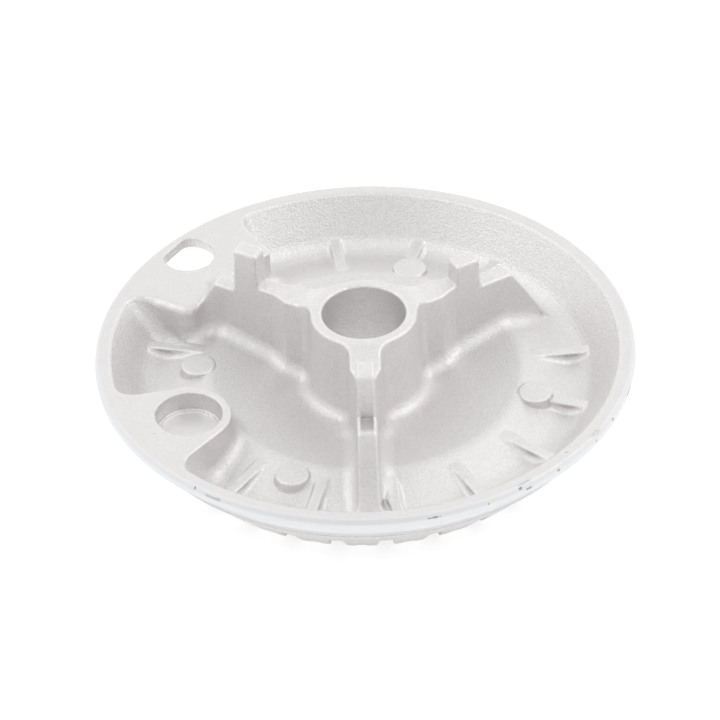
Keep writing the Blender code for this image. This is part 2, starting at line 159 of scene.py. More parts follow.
POCKET_DIRECTION = -150.3
POCKET_PLACE = 37.5
POCKET_RADIUS = 6.0
POCKET_DEPTH = 3.75
POCKET_STEP = 0.45
POCKET_DRAFT = 0.03
BOSS_RADIUS = 7.9
BOSS_SPREAD = 13.8

# Corners of the plan boxes that the flange and the boss lie in, and of the sections' box
FLANGE_BOX = ((-58.0, 8.0), (-10.0, 58.0))
BOSS_BOX = ((-58.0, -42.0), (-18.0, -2.0))
SECTION_BOX = ((0.0, -3.0), (55.0, 34.0))

PORT_PAIRS = 28
DEEP_PORT_FIRST = -85.97
SHALLOW_PORT_FIRST = -92.4
DEEP_PORT_HALF = 1.2
SHALLOW_PORT_HALF = 0.8
SHALLOW_PORT_DEPTH = 0.65
SHALLOW_PORT_DRAFT = 0.3
PORTS_BELOW = 9.0
PORT_ROOF = ((29.2, 7.3), (42.5, 4.3))
PORT_DRAFT = 0.05

# Steps round the axis follow the ports, so that every tooth is alike, and are taken in blocks
STEPS_PER_PORT_PAIR = 28
TURN_STEPS = PORT_PAIRS * STEPS_PER_PORT_PAIR
TURN_BLOCK = 49

# Grid lines outwards and upwards, as runs of start, end and step, closer where edges are sharp
RADIUS_RUNS = ((6.8, 11.5, 0.42), (11.5, 44.0, 0.48), (44.0, 51.2, 0.3))
LEVEL_RUNS = ((-0.9, 1.2, 0.3), (1.2, 9.0, 0.45), (9.0, 17.1, 0.3), (17.1, 31.2, 0.45))

# Longest move of a point in one round, and the least squared slope that it is worked out with
LONGEST_MOVE = 0.25
LEAST_SLOPE = 0.25

TRIANGLE_LIMIT = 196000

# Colours of the blasted casting, of the turned rim and of the marks, each from light to dark
CAST_LIGHT = (0.937, 0.923, 0.919, 1.0)
CAST_DARK = (0.50, 0.488, 0.485, 1.0)
TURNED_LIGHT = (0.87, 0.875, 0.887, 1.0)
TURNED_DARK = (0.72, 0.725, 0.74, 1.0)
MARK_DARK = (0.22, 0.215, 0.21, 1.0)

# How far each cause moves the casting's tone from light to dark
TONE_BASE = 0.06
TONE_COARSE = 0.06
TONE_PATCH = 0.08
TONE_GRIT = 0.19
TONE_WALL_GRIT = 0.10
# Painted light that lifts the dish walls
TONE_WALL_LIGHT = -0.14
# Painted light that lifts the pocket floor out of its shade
TONE_POCKET_LIGHT = -0.62
TONE_SKIRT = 0.38
# Painted shade on upright sides
TONE_UPRIGHT_SHADE = 0.12
TONE_MACHINED = 0.07
# Painted shade in hollows and creases
TONE_HOLLOW_SHADE = 0.24
# Painted highlight on convex edges
TONE_EDGE_HIGHLIGHT = -0.10

# Bend per millimetre at which the painted highlight on edges and the painted shade in hollows start to
# tell, and at which they are full
EDGE_HIGHLIGHT_BEND = (0.6, 2.2)
HOLLOW_SHADE_BEND = (-0.8, -2.6)

# Roughness of the casting, and what turning and the patches add
ROUGH_CAST = 0.52
ROUGH_MACHINED = 0.16
ROUGH_PATCH = 0.12

# Heights of the surface's relief, in millimetres
BUMP_GRIT = 0.040
BUMP_PATCH = 0.045
BUMP_COARSE = 0.06
BUMP_LATHE = 0.012
BUMP_MARK = -0.04

# Scales of the noises: soft cloud, patches, blasted grain, ragged mark edges, lathe lines
COARSE_SCALE = 130.0
PATCH_SCALE = 700.0
GRAIN_SCALE = 2900.0
RAGGED_SCALE = 1500.0
LATHE_SCALE = 7.0
LATHE_STRETCH = 0.02

MARK_SHARE = 0.7
MARK_RAGGED = 1.6

# Marks on the turned rim: direction, radius and height with their half extents, then strength
MARKS = (
    (-77.0, 50.4, 15.8, 1.6, 0.6, 0.22, 0.9),
    (-75.3, 50.0, 13.5, 0.3, 1.2, 1.0, 0.75),
    (-65.8, 50.4, 14.0, 0.35, 0.6, 0.35, 0.8),
    (-65.0, 50.4, 15.7, 0.3, 0.6, 0.3, 0.7),
    (-57.3, 50.2, 16.1, 0.5, 0.5, 0.35, 0.95),
    (-55.2, 50.4, 15.5, 1.0, 0.6, 0.3, 0.9),
    (-56.0, 49.6, 16.5, 2.2, 0.3, 0.4, 0.35),
    (-47.2, 50.4, 15.7, 0.5, 0.6, 0.3, 0.7),
    (-33.5, 49.7, 16.2, 4.5, 0.5, 0.5, 0.3),
    (-27.2, 50.4, 15.6, 0.5, 0.6, 0.35, 0.7),
    (-34.6, 50.4, 15.4, 0.5, 0.6, 0.35, 0.6),
    (-17.0, 50.4, 15.2, 3.0, 0.6, 0.4, 0.5),
    (-42.7, 48.7, 16.5, 0.25, 0.2, 0.4, 0.7),
    (-148.2, 45.6, 16.5, 0.25, 0.2, 0.4, 0.8),
    (-128.5, 50.2, 16.2, 0.3, 0.5, 0.4, 0.9),
    (-123.5, 50.4, 15.9, 3.2, 0.5, 0.3, 0.45),
    (-118.4, 49.9, 13.9, 1.4, 0.8, 0.25, 0.7),
    (-61.9, 49.9, 13.9, 1.0, 0.8, 0.25, 0.7),
    (22.0, 50.4, 14.9, 1.8, 0.6, 0.3, 0.5),
    (71.0, 50.3, 15.6, 0.8, 0.6, 0.3, 0.6),
    (104.0, 50.1, 13.7, 2.1, 0.8, 0.3, 0.45),
    (163.0, 50.4, 15.3, 1.2, 0.6, 0.3, 0.6),
)

# Camera angles in degrees, its distance in metres and its lens in millimetres, and where the
# rim's centre lies in the picture, in pixels from its upper left corner
CAMERA_ELEVATION = 38.5
CAMERA_ROLL = -1.95
CAMERA_AZIMUTH = 0.2
CAMERA_DISTANCE = 0.8
CAMERA_LENS = 214.5
SENSOR_WIDTH = 36
PICTURE_SIZE = 720
RIM_CENTRE_IN_PICTURE = (364.9, 344.8)

# The floor's own tone, and its glow for camera rays and for reflections
FLOOR_SIDE = 6.0
FLOOR_TONE = 0.5
FLOOR_GLOW = 0.72
FLOOR_MIRRORED = 0.72

# The sky's level all round, and what its top, its left, its back and its front add
SKY_LEVEL = 0.70
SKY_TOP = -0.15
SKY_LEFT = 0.02
SKY_BACK = 0.50
SKY_FRONT = -0.05

# The side lamps: size, place of the right one, and watts of the left and the right one
LAMP_SIZE = 0.6
LAMP_PLACE = (0.6, -0.12, 0.75)
LEFT_LAMP_WATTS = 1.6
RIGHT_LAMP_WATTS = 2.0


def rounded(corner, before, after, radius, steps=8):
    """Arc that blends the corner between two straight runs, as (x, y) points."""
    corner = Vector(corner)
    to_before = (Vector(before) - corner).normalized()
    to_after = (Vector(after) - corner).normalized()
    half = to_before.angle(to_after) / 2
    centre = corner + (to_before + to_after).normalized() * radius / math.sin(half)
    first = corner + to_before * radius / math.tan(half) - centre
    last = corner + to_after * radius / math.tan(half) - centre
    arc = [centre + first.slerp(last, i / steps).normalized() * radius for i in range(steps + 1)]
    return [tuple(point) for point in arc]


def eased(points):
    """Outline from (x, y, radius) corners, where a radius of zero keeps the corner."""
    outline = []
    for i, (x, y, radius) in enumerate(points):
        if radius:
            before, after = points[i - 1], points[(i + 1) % len(points)]
            outline += rounded((x, y), before[:2], after[:2], radius)
        else:
            outline.append((x, y))
    return np.array(outline)


def polygon_distance(outline, x, y):
    """Signed distance to a closed outline, negative inside."""
    nearest = np.full(np.shape(x), 1e9)
    inside = np.zeros(np.shape(x), bool)
    for (ax, ay), (bx, by) in zip(outline, np.roll(outline, -1, axis=0)):
        ex, ey = bx - ax, by - ay
        length = ex * ex + ey * ey
        if length < 1e-12:
            continue
        wx, wy = x - ax, y - ay
        share = np.clip((wx * ex + wy * ey) / length, 0.0, 1.0)
        nearest = np.minimum(nearest, (wx - ex * share) ** 2 + (wy - ey * share) ** 2)
        if ey != 0.0:
            crosses = (ay > y) != (by > y)
            inside ^= crosses & (x < ax + ex * (y - ay) / ey)
    return np.where(inside, -1.0, 1.0) * np.sqrt(nearest)


class Table:
    """Signed distance to an outline, kept on a fine grid and read between its points."""

    def __init__(self, outline, low, high, step=0.1):
        self.low, self.high, self.step = low, high, step
        self.shape = [round((b - a) / step) + 1 for a, b in zip(low, high)]
        x = low[0] + step * np.arange(self.shape[0])[:, None]
        y = low[1] + step * np.arange(self.shape[1])[None, :]
        x, y = np.broadcast_arrays(x, y)
        self.values = polygon_distance(outline, x, y).ravel()

    def near(self, x, y):
        """Which of the plan points lie in the table's box."""
        (x0, y0), (x1, y1) = self.low, self.high
        return np.flatnonzero((x > x0) & (x < x1) & (y > y0) & (y < y1))

    def __call__(self, x, y):
        u = np.clip((x - self.low[0]) / self.step, 0.0, self.shape[0] - 1.001)
        v = np.clip((y - self.low[1]) / self.step, 0.0, self.shape[1] - 1.001)
        i, j = u.astype(np.int64), v.astype(np.int64)
        u, v = u - i, v - j
        spot = i * self.shape[1] + j
        near, far = self.values[spot], self.values[spot + self.shape[1]]
        near = near + (self.values[spot + 1] - near) * v
        far = far + (self.values[spot + self.shape[1] + 1] - far) * v
        return near + (far - near) * u


def join(a, b, radius):
    """Union whose inner corner has a round fillet."""
    u, v = np.maximum(radius - a, 0.0), np.maximum(radius - b, 0.0)
    return np.maximum(radius, np.minimum(a, b)) - np.hypot(u, v)


def trim(a, b, radius):
    """Intersection whose outer corner is rounded over."""
    u, v = np.maximum(radius + a, 0.0), np.maximum(radius + b, 0.0)
    return np.minimum(-radius, np.maximum(a, b)) + np.hypot(u, v)


def run(start, end, x):
    """Height at x of the straight line through two (x, height) points."""
    return start[1] + (end[1] - start[1]) * (x - start[0]) / (end[0] - start[0])


def beyond(start, end, x):
    """The (x, height) point at x on the line through two points."""
    return (x, run(start, end, x))


def ramp(x, pairs):
    """Value at x between (x, value) pairs, level beyond the first and the last."""
    places, values = zip(*pairs)
    return np.interp(x, places, values)


def dish_outline():
    """Section under the dish surface, its wall drawn on past the land."""
    inner = beyond(HUB_FLOOR, CREST, FAR_IN)
    top = beyond(WALL_FOOT, LAND_EDGE, FAR_OUT)
    return eased([
        (*inner, 0), (*CREST, CREST_ROUND), (*WALL_FOOT, WALL_FILLET), (*top, 0),
        (FAR_OUT, FAR_DOWN, 0), (FAR_IN, FAR_DOWN, 0),
    ])


def shell_outline():
    """Section over the gas side and inside the skirt, open upwards, without the bore."""
    land_outer = LAND_INNER + LAND_WIDTH
    chamfer = [(land_outer, FAR_UP, 0), (land_outer, RIM + 0.96, 0)]
    band = [(BAND_RADIUS - 0.1, RIM - 0.8, 0.4), (BAND_RADIUS, RIM - 1.9, 0.25)]
    cone = [(BAND_RADIUS - 4.25, RIM - 6.45, 0)]
    grooves = [(46.35, 9.75, 0.06), (45.5, 8.67, 0), (45.62, 8.45, 0)]
    skirt = [(43.8, 6.5, 3.0), (TEETH_OUTER + 0.3, 0.35, 0.3), (TEETH_OUTER, 0.0, 0.05)]
    chamber = [(TEETH_INNER, 0.0, 0.3), (30.9, 7.0, 1.0), (28.8, 7.8, 1.5), (11.6, 4.6, 1.0)]
    collar = [(BORE_RADIUS + 2.85, 2.9, 0.3), (BORE_RADIUS + 0.8, 2.9, 0.2), (BORE_RADIUS, 3.7, 0.2)]
    lip = [(BORE_RADIUS, HUB_TOP - 0.4, 0.25), (BORE_RADIUS + 0.4, HUB_TOP + 0.05, 0.2)]
    opening = [(BORE_RADIUS + 1.35, HUB_TOP + 1.0, 0), (BORE_RADIUS + 1.35, FAR_UP, 0)]
    return eased(chamfer + band + cone + grooves + skirt + chamber + collar + lip + opening)


def meeting(a, b, c, d):
    """The (x, height) point where the line through a and b meets the line through c and d."""
    rise, other = (b[1] - a[1]) / (b[0] - a[0]), (d[1] - c[1]) / (d[0] - c[0])
    x = (c[1] - a[1] + rise * a[0] - other * c[0]) / (rise - other)
    return beyond(a, b, x)


def spoke_outline(peg_start, peg_end, peg_top):
    """Side view of a spoke as (reach, height): hub, peg, step, slope and wall."""
    corner = meeting(STEP_END, SLOPE_END, WALL_FOOT, LAND_EDGE)
    return eased([
        (FAR_IN, HUB_TOP, 0), (NECK_START, HUB_TOP, 2.5), (NECK_END, WEB_TOP, 2.5),
        (peg_start, WEB_TOP, 0.5), (peg_start + PEG_START_LEAN, peg_top, 0.9),
        (peg_end - PEG_END_LEAN, peg_top, 0.55), (peg_end, STEP_TOP, 0.4),
        (*STEP_END, 1.2), (*corner, SLOPE_FILLET), (*beyond(WALL_FOOT, LAND_EDGE, SPOKE_END), 0),
        (FAR_OUT, RIM - 0.9, 0), (FAR_OUT, FAR_DOWN, 0), (FAR_IN, FAR_DOWN, 0),
    ])


def gusset_outline():
    """Side view of a gusset as (reach, height), its end turned up into the wall."""
    inner = (GUSSET_INNER, GUSSET_TOP)
    lower = (GUSSET_INNER + 10, GUSSET_TOP - GUSSET_FALL * 10)
    outer = meeting(inner, lower, WALL_FOOT, LAND_EDGE)
    return eased([
        (*inner, 0), (*outer, 0.6), (*beyond(WALL_FOOT, LAND_EDGE, FAR_OUT), 0), (FAR_OUT, FAR_DOWN, 0),
        (GUSSET_INNER, FAR_DOWN, 0),
    ])


def turn_point(radius, degrees):
    angle = math.radians(degrees)
    return (radius * math.cos(angle), radius * math.sin(angle))


def along(direction, reach, offset):
    """Plan point given by its reach along a direction and its offset to the left."""
    c, s = math.cos(math.radians(direction)), math.sin(math.radians(direction))
    return (reach * c - offset * s, reach * s + offset * c)


def flange_outline():
    """Plan of the flange round the electrode hole, drawn on past the rim."""
    near = FLANGE_DIRECTION
    corners = [
        (*along(near, FAR_PLAN, FLANGE_NEAR_SIDE), 0),
        (*along(near, FLANGE_INNER, FLANGE_NEAR_SIDE), FLANGE_CORNER),
        (*along(near, FLANGE_INNER, 2.0), 0),
    ]
    for degrees in FLANGE_STATIONS:
        reach = FLANGE_INNER - ramp(degrees, FLANGE_DRAWN_IN)
        corners.append((*turn_point(reach, degrees), 0))
    corners.append((*turn_point(FLANGE_INNER + 0.3, FLANGE_FAR_DIRECTION), 1.2))
    corners.append((*turn_point(FAR_PLAN, FLANGE_FAR_DIRECTION), 0))
    return eased(corners)


def boss_outline():
    """Plan of the pocket's boss: a round end that spreads towards the rim."""
    centre = Vector(turn_point(POCKET_PLACE, POCKET_DIRECTION))
    corners = [turn_point(FAR_PLAN, POCKET_DIRECTION - BOSS_SPREAD * 1.1)]
    for i in range(31):
        arc = Vector(turn_point(BOSS_RADIUS, POCKET_DIRECTION - 105 - 5 * i))
        corners.append(tuple(centre + arc))
    corners.append(turn_point(FAR_PLAN, POCKET_DIRECTION + BOSS_SPREAD * 1.1))
    return np.array(corners)


def relief_outline():
    """Plan of the space under the flange, open outwards."""
    far = FLANGE_FAR_DIRECTION + math.degrees(RELIEF_WALL / RELIEF_INNER)
    offset = FLANGE_NEAR_SIDE - RELIEF_WALL
    near = FLANGE_DIRECTION + math.degrees(math.asin(offset / RELIEF_INNER))
    corners = [turn_point(RELIEF_INNER, near + (far - near) * i / 12) for i in range(13)]
    corners.append(turn_point(FAR_PLAN, far))
    corners.append(along(FLANGE_DIRECTION, FAR_PLAN, offset))
    return np.array(corners)


DISH = Table(dish_outline(), *SECTION_BOX)
SHELL = Table(shell_outline(), *SECTION_BOX, 0.05)
SPOKE_SIDES = [Table(spoke_outline(*layout[1:]), *SECTION_BOX) for layout in SPOKES]
GUSSET_SIDE = Table(gusset_outline(), *SECTION_BOX)
FLANGE = Table(flange_outline(), *FLANGE_BOX)
BOSS = Table(boss_outline(), *BOSS_BOX)
RELIEF = Table(relief_outline(), *FLANGE_BOX)


def folded(x, y, radius, first, pitch):
    """Reach along, and offset from, the nearest of the directions on a pitch."""
    angle = np.arctan2(y, x)
    pitch, first = math.radians(pitch), math.radians(first)
    away = angle - first - pitch * np.round((angle - first) / pitch)
    return radius * np.cos(away), radius * np.sin(away)


def blended_floor(x, y, z, radius):
    """The dish with its gussets, pads, boss and flange, cut level at the land."""
    body = DISH(radius, z)
    for place in GUSSET_PLACES:
        direction = math.radians(GUSSET_FIRST + GUSSET_PITCH * place)
        reach = x * math.cos(direction) + y * math.sin(direction)
        offset = np.abs(y * math.cos(direction) - x * math.sin(direction))
        near = np.flatnonzero((offset < RIB_REACH) & (reach > GUSSET_INNER - RIB_REACH))
        if not near.size:
            continue
        offset = offset[near]
        sides = offset - GUSSET_HALF - np.maximum(GUSSET_TOP - z[near], 0.0) * DRAFT * 2
        ribbed = join(body[near], sides, GUSSET_FILLET * ramp(reach[near], GUSSET_FOOT_SHARE))
        top = GUSSET_SIDE(reach[near], z[near])
        body[near] = np.minimum(body[near], trim(ribbed, top, EDGE_ROUND))
    for direction, place, pad_top in PADS:
        px, py = turn_point(place, direction)
        away = np.hypot(x - px, y - py)
        near = np.flatnonzero(away < RIB_REACH)
        sides = away[near] - PAD_RADIUS - PAD_DRAFT * (pad_top - z[near])
        raised = join(body[near], sides, PAD_FILLET)
        body[near] = np.minimum(body[near], trim(raised, z[near] - pad_top, EDGE_ROUND))
    for plan in (FLANGE, BOSS):
        near = plan.near(x, y)
        if near.size:
            sides = plan(x[near], y[near]) - (RIM - z[near]) * FLANGE_DRAFT
            body[near] = join(body[near], sides, FILLET)
    c, s = math.cos(math.radians(FLANGE_DIRECTION)), math.sin(math.radians(FLANGE_DIRECTION))
    soft = ramp(y * c - x * s, SOFT_OFFSETS) * ramp(x * c + y * s, SOFT_REACHES)
    return trim(body, z - RIM, LAND_EDGE_ROUND + FLANGE_EDGE_SOFT * soft)


def uprights(x, y, z, radius):
    """Plan sides and top of the hub with its three spokes, as two distances."""
    sides = radius - HUB_RADIUS - HUB_DRAFT * (HUB_TOP - z)
    top = z - HUB_TOP
    for (direction, _, _, _), side_view in zip(SPOKES, SPOKE_SIDES):
        c, s = math.cos(math.radians(direction)), math.sin(math.radians(direction))
        reach = x * c + y * s
        third = reach * math.tan(math.radians(60.0)) + 0.01
        near = np.flatnonzero((reach > 0.0) & (np.abs(y * c - x * s) < third))
        if not near.size:
            continue
        along_spoke = reach[near]
        offset = np.abs(y[near] * c - x[near] * s)
        lean = DRAFT * np.clip(WEB_TOP - z[near], -4.0, 20.0)
        web = offset - ramp(along_spoke, SPOKE_HALVES) - lean
        web = np.maximum(web, 3.0 - along_spoke)
        sides[near] = join(sides[near], web, NECK_FILLET)
        top[near] = side_view(along_spoke, z[near])
    return sides, top


def pocket_space(x, y, z):
    """The blind pocket and the step at its foot."""
    px, py = turn_point(POCKET_PLACE, POCKET_DIRECTION)
    away = np.hypot(x - px, y - py)
    floor = RIM - POCKET_DEPTH
    draft = POCKET_DRAFT * (z - floor)
    pocket = trim(away - POCKET_RADIUS - draft, floor - z, 0.3)
    dimple = trim(away - POCKET_RADIUS + POCKET_STEP, floor - POCKET_STEP - z, 0.2)
    return np.minimum(pocket, dimple)


def electrode_hole(x, y):
    """The round hole in the flange with its flat side."""
    hx, hy = turn_point(HOLE_PLACE, HOLE_DIRECTION)
    fx, fy = turn_point(1.0, HOLE_FLAT_DIRECTION)
    dx, dy = x - hx, y - hy
    return trim(np.hypot(dx, dy) - HOLE_RADIUS, dx * fx + dy * fy - HOLE_FLAT, 0.5)


def notch_space(x, y, z):
    """The shallow notch in the front spoke's step."""
    middle = SPOKES[0][2] + NOTCH_LENGTH / 2 - NOTCH_OVERLAP
    notch = np.maximum(np.abs(x) - NOTCH_HALF, np.abs(-y - middle) - NOTCH_LENGTH / 2)
    return np.maximum(notch, STEP_TOP - NOTCH_DEPTH - z)


def port_space(x, y, z, radius):
    """The deep and the shallow flame ports between the teeth."""
    pitch = 360 / PORT_PAIRS
    inner, outer = PORT_ROOF[0][0], PORT_ROOF[1][0]
    reach, offset = folded(x, y, radius, DEEP_PORT_FIRST, pitch)
    roof = run(*PORT_ROOF, reach)
    flank = np.abs(offset) - DEEP_PORT_HALF - PORT_DRAFT * (roof - z)
    deep = trim(flank, z - roof, 0.35)
    deep = np.maximum(deep, np.maximum(inner - reach, reach - outer))
    reach, offset = folded(x, y, radius, SHALLOW_PORT_FIRST, pitch)
    over = z - SHALLOW_PORT_DEPTH
    flank = np.abs(offset) - SHALLOW_PORT_HALF + SHALLOW_PORT_DRAFT * over
    shallow = np.maximum(trim(flank, over, 0.2), inner - reach)
    return np.minimum(deep, shallow)


def casting(points):
    """Signed distance from the casting's surface, negative in the metal."""
    x, y, z = points[:, 0], points[:, 1], points[:, 2]
    radius = np.hypot(x, y)
    body = blended_floor(x, y, z, radius)
    sides, top = uprights(x, y, z, radius)
    front = (y < -30.0) & (np.abs(x) < 8.0)
    share = np.where(front, ramp(radius, FRONT_FOOT_SHARE), ramp(radius, FOOT_SHARE))
    raised = trim(join(body, sides, FILLET * share), top, UPRIGHT_EDGE_ROUND)
    body = np.minimum(body, raised)
    body = trim(body, SHELL(radius, z), SHARP_EDGE_ROUND)
    body = trim(body, -pocket_space(x, y, z), EDGE_ROUND)

    near = RELIEF.near(x, y)
    if near.size:
        nx, ny = x[near], y[near]
        relief = trim(RELIEF(nx, ny), z[near] - RIM + FLANGE_THICKNESS, 0.5)
        body[near] = trim(body[near], -relief, RELIEF_EDGE_ROUND)
        body[near] = trim(body[near], -electrode_hole(nx, ny), EDGE_ROUND)

    body = trim(body, -notch_space(x, y, z), SHARP_EDGE_ROUND)
    low = np.flatnonzero(z < PORTS_BELOW)
    if low.size:
        ports = port_space(x[low], y[low], z[low], radius[low])
        body[low] = trim(body[low], -ports, PORT_EDGE_ROUND)
    return body


def stations(runs):
    """Grid lines from (start, end, step) runs laid end to end."""
    lines = []
    for start, end, step in runs:
        count = max(1, round((end - start) / step))
        lines += [start + (end - start) * i / count for i in range(count)]
    return np.array(lines + [runs[-1][1]])


def surface_cells(values):
    """Vertex per mixed cell and quads between them, on a grid closed on itself in its middle axis."""
    rows, turns, levels = values.shape
    inside = values < 0.0
    wrapped = np.concatenate([inside, inside[:, :1]], axis=1)
    total = np.zeros((rows - 1, turns, levels - 1), np.int8)
    for a in (0, 1):
        for b in (0, 1):
            for c in (0, 1):
                total += wrapped[a:rows - 1 + a, b:turns + b, c:levels - 1 + c]
    mixed = (total > 0) & (total < 8)
    index = np.full(mixed.shape, -1, np.int64)
    cells = np.argwhere(mixed)
    index[mixed] = np.arange(len(cells))

    corners = {}
    for a in (0, 1):
        for b in (0, 1):
            for c in (0, 1):
                corners[a, b, c] = values[cells[:, 0] + a, (cells[:, 1] + b) % turns, cells[:, 2] + c]
    spots, hits = np.zeros((len(cells), 3)), np.zeros(len(cells))
    for axis in range(3):
        for p in (0, 1):
            for q in (0, 1):
                first, second = [p, q], [p, q]
                first.insert(axis, 0)
                second.insert(axis, 1)
                va, vb = corners[tuple(first)], corners[tuple(second)]
                cut = (va < 0.0) != (vb < 0.0)
                share = np.where(cut, va / np.where(cut, va - vb, 1.0), 0.0)
                place = np.array(first, float)[None, :].repeat(len(cells), 0)
                place[:, axis] = share
                spots += place * cut[:, None]
                hits += cut
    spots = cells + spots / hits[:, None]

    quads = []
    for axis in range(3):
        if axis == 0:
            cut = inside[:-1, :, 1:-1] != inside[1:, :, 1:-1]
            i, j, k = np.nonzero(cut)
            k = k + 1
            flip = inside[i, j, k]
            ring = [index[i, j - 1, k - 1], index[i, j, k - 1], index[i, j, k], index[i, j - 1, k]]
        elif axis == 1:
            cut = inside[1:-1, :, 1:-1] != np.roll(inside, -1, axis=1)[1:-1, :, 1:-1]
            i, j, k = np.nonzero(cut)
            i, k = i + 1, k + 1
            flip = ~inside[i, j, k]
            ring = [index[i - 1, j, k - 1], index[i, j, k - 1], index[i, j, k], index[i - 1, j, k]]
        else:
            cut = inside[1:-1, :, :-1] != inside[1:-1, :, 1:]
            i, j, k = np.nonzero(cut)
            i = i + 1
            flip = inside[i, j, k]
            ring = [index[i - 1, j - 1, k], index[i, j - 1, k], index[i, j, k], index[i - 1, j, k]]
        quad = np.stack(ring, axis=1)
        quad[~flip] = quad[~flip][:, ::-1]
        quads.append(quad)
    return spots, np.concatenate(quads)


def slope_of(points, step=0.02):
    """Gradient of the casting's distance by central differences."""
    slope = np.empty_like(points)
    for axis in range(3):
        shift = np.zeros(3)
        shift[axis] = step
        slope[:, axis] = (casting(points + shift) - casting(points - shift)) / (2 * step)
    return slope


def bend_of(points, step=0.35):
    """How sharply the surface bends, per millimetre: over nought on edges, under it in hollows."""
    bend = -6.0 * casting(points)
    for axis in range(3):
        shift = np.zeros(3)
        shift[axis] = step
        bend += casting(points + shift) + casting(points - shift)
    return bend / step ** 2


def settled(points, rounds):
    """Points drawn onto the surface along the distance's gradient."""
    for _ in range(rounds):
        slope = slope_of(points)
        steep = np.maximum((slope ** 2).sum(axis=1), LEAST_SLOPE)
        move = slope * (casting(points) / steep)[:, None]
        length = np.linalg.norm(move, axis=1)
        move *= np.minimum(1.0, LONGEST_MOVE / np.maximum(length, 1e-9))[:, None]
        points = points - move
    return points


def mesh_from(name, points, quads):
    """Mesh in metres from millimetre points and quads."""
    mesh = bpy.data.meshes.new(name)
    mesh.vertices.add(len(points))
    mesh.vertices.foreach_set("co", (points * MM).astype(np.float32).ravel())
    mesh.loops.add(quads.size)
    mesh.loops.foreach_set("vertex_index", quads.astype(np.int32).ravel())
    mesh.polygons.add(len(quads))
    mesh.polygons.foreach_set("loop_start", np.arange(0, quads.size, 4, dtype=np.int32))
    mesh.update(calc_edges=True)
    mesh.validate()
    return mesh


def crown_surface():
    """Points and quads of the casting's skin, from cells round the axis."""
    radii, levels = stations(RADIUS_RUNS), stations(LEVEL_RUNS)
    turns = np.arange(TURN_STEPS) * (math.tau / TURN_STEPS)
    values = np.empty((len(radii), TURN_STEPS, len(levels)), np.float32)
    for start in range(0, TURN_STEPS, TURN_BLOCK):
        turn = turns[start:start + TURN_BLOCK]
        r, t, z = np.meshgrid(radii, turn, levels, indexing="ij")
        points = np.stack([r * np.cos(t), r * np.sin(t), z], axis=-1).reshape(-1, 3)
        values[:, start:start + TURN_BLOCK] = casting(points).reshape(r.shape)
    spots, quads = surface_cells(values)
    radius = np.interp(spots[:, 0], np.arange(len(radii)), radii)
    turn = spots[:, 1] * (math.tau / TURN_STEPS)
    height = np.interp(spots[:, 2], np.arange(len(levels)), levels)
    points = np.stack([radius * np.cos(turn), radius * np.sin(turn), height], axis=1)
    return settled(points, 2), quads


def thinned(points, quads):
    """Mesh of the surface, thinned to the triangle limit."""
    full = bpy.data.objects.new("full", mesh_from("full", points, quads))
    bpy.context.scene.collection.objects.link(full)
    thin = full.modifiers.new("thin", "DECIMATE")
    thin.ratio = min(1.0, TRIANGLE_LIMIT / (2 * len(quads)))
    thin.use_collapse_triangulate = True
    depsgraph = bpy.context.evaluated_depsgraph_get()
    mesh = bpy.data.meshes.new_from_object(full.evaluated_get(depsgraph))
    bpy.data.objects.remove(full)
    return mesh


def crown_skin():
    """The casting's skin as an object, with its bend and its true normals at each point."""
    mesh = thinned(*crown_surface())
    flat = np.empty(len(mesh.vertices) * 3, np.float32)
    mesh.vertices.foreach_get("co", flat)
    spots = settled(flat.reshape(-1, 3).astype(float) / MM, 1)
    slope = slope_of(spots)
    slope /= np.maximum(np.linalg.norm(slope, axis=1), 1e-9)[:, None]
    mesh.vertices.foreach_set("co", (spots * MM).astype(np.float32).ravel())
    bend = mesh.attributes.new("bend", "FLOAT", "POINT")
    bend.data.foreach_set("value", bend_of(spots).astype(np.float32))
    mesh.update()
    mesh.shade_smooth()
    mesh.normals_split_custom_set_from_vertices(slope.tolist())
    made = bpy.data.objects.new("crown_skin", mesh)
    bpy.context.scene.collection.objects.link(made)
    return made


class Sums:
    """Short hand for chains of maths nodes in one material or world."""

    def __init__(self, owner):
        self.nodes, self.links = owner.node_tree.nodes, owner.node_tree.links

    def node(self, kind, inputs=(), **settings):
        made = self.nodes.new(kind)
        for key, value in settings.items():
            setattr(made, key, value)
        for key, value in dict(inputs).items():
            self.feed(made.inputs[key], value)
        return made

    def feed(self, socket, value):
        if isinstance(value, bpy.types.NodeSocket):
            self.links.new(value, socket)
        else:
            socket.default_value = value

    def sum(self, operation, *values):
        return self.node("ShaderNodeMath", enumerate(values), operation=operation).outputs[0]

    def both(self, first, second):
        """Product of two shares."""
        return self.sum("MULTIPLY", first, second)

    def total(self, start, *terms):
        """The start plus each (value, weight) term."""
        for value, weight in terms:
            start = self.sum("MULTIPLY_ADD", value, weight, start)
        return start

    def length(self, x, y):
        squares = self.sum("ADD", self.sum("MULTIPLY", x, x), self.sum("MULTIPLY", y, y))
        return self.sum("SQRT", squares)

    def vector(self, operation, *values):
        return self.node("ShaderNodeVectorMath", enumerate(values), operation=operation)

    def blend(self, share, first, second):
        """Colour between two colours or colour sockets."""
        made = self.node("ShaderNodeMix", {"Factor": share, 6: first, 7: second}, data_type="RGBA")
        return made.outputs[2]

    def band(self, value, start, end):
        """0 below start, 1 above end and smooth between, or the other way round if end is less."""
        made = self.node("ShaderNodeMapRange", interpolation_type="SMOOTHSTEP")
        low, high, first, last = (start, end, 0.0, 1.0) if start < end else (end, start, 1.0, 0.0)
        for key, number in (("Value", value), ("From Min", low), ("From Max", high),
                            ("To Min", first), ("To Max", last)):
            self.feed(made.inputs[key], number)
        return made.outputs[0]

    def noise(self, vector, scale, detail=2.0, roughness=0.5):
        made = self.node("ShaderNodeTexNoise", {
            "Vector": vector, "Scale": scale, "Detail": detail, "Roughness": roughness})
        return made.outputs[0]


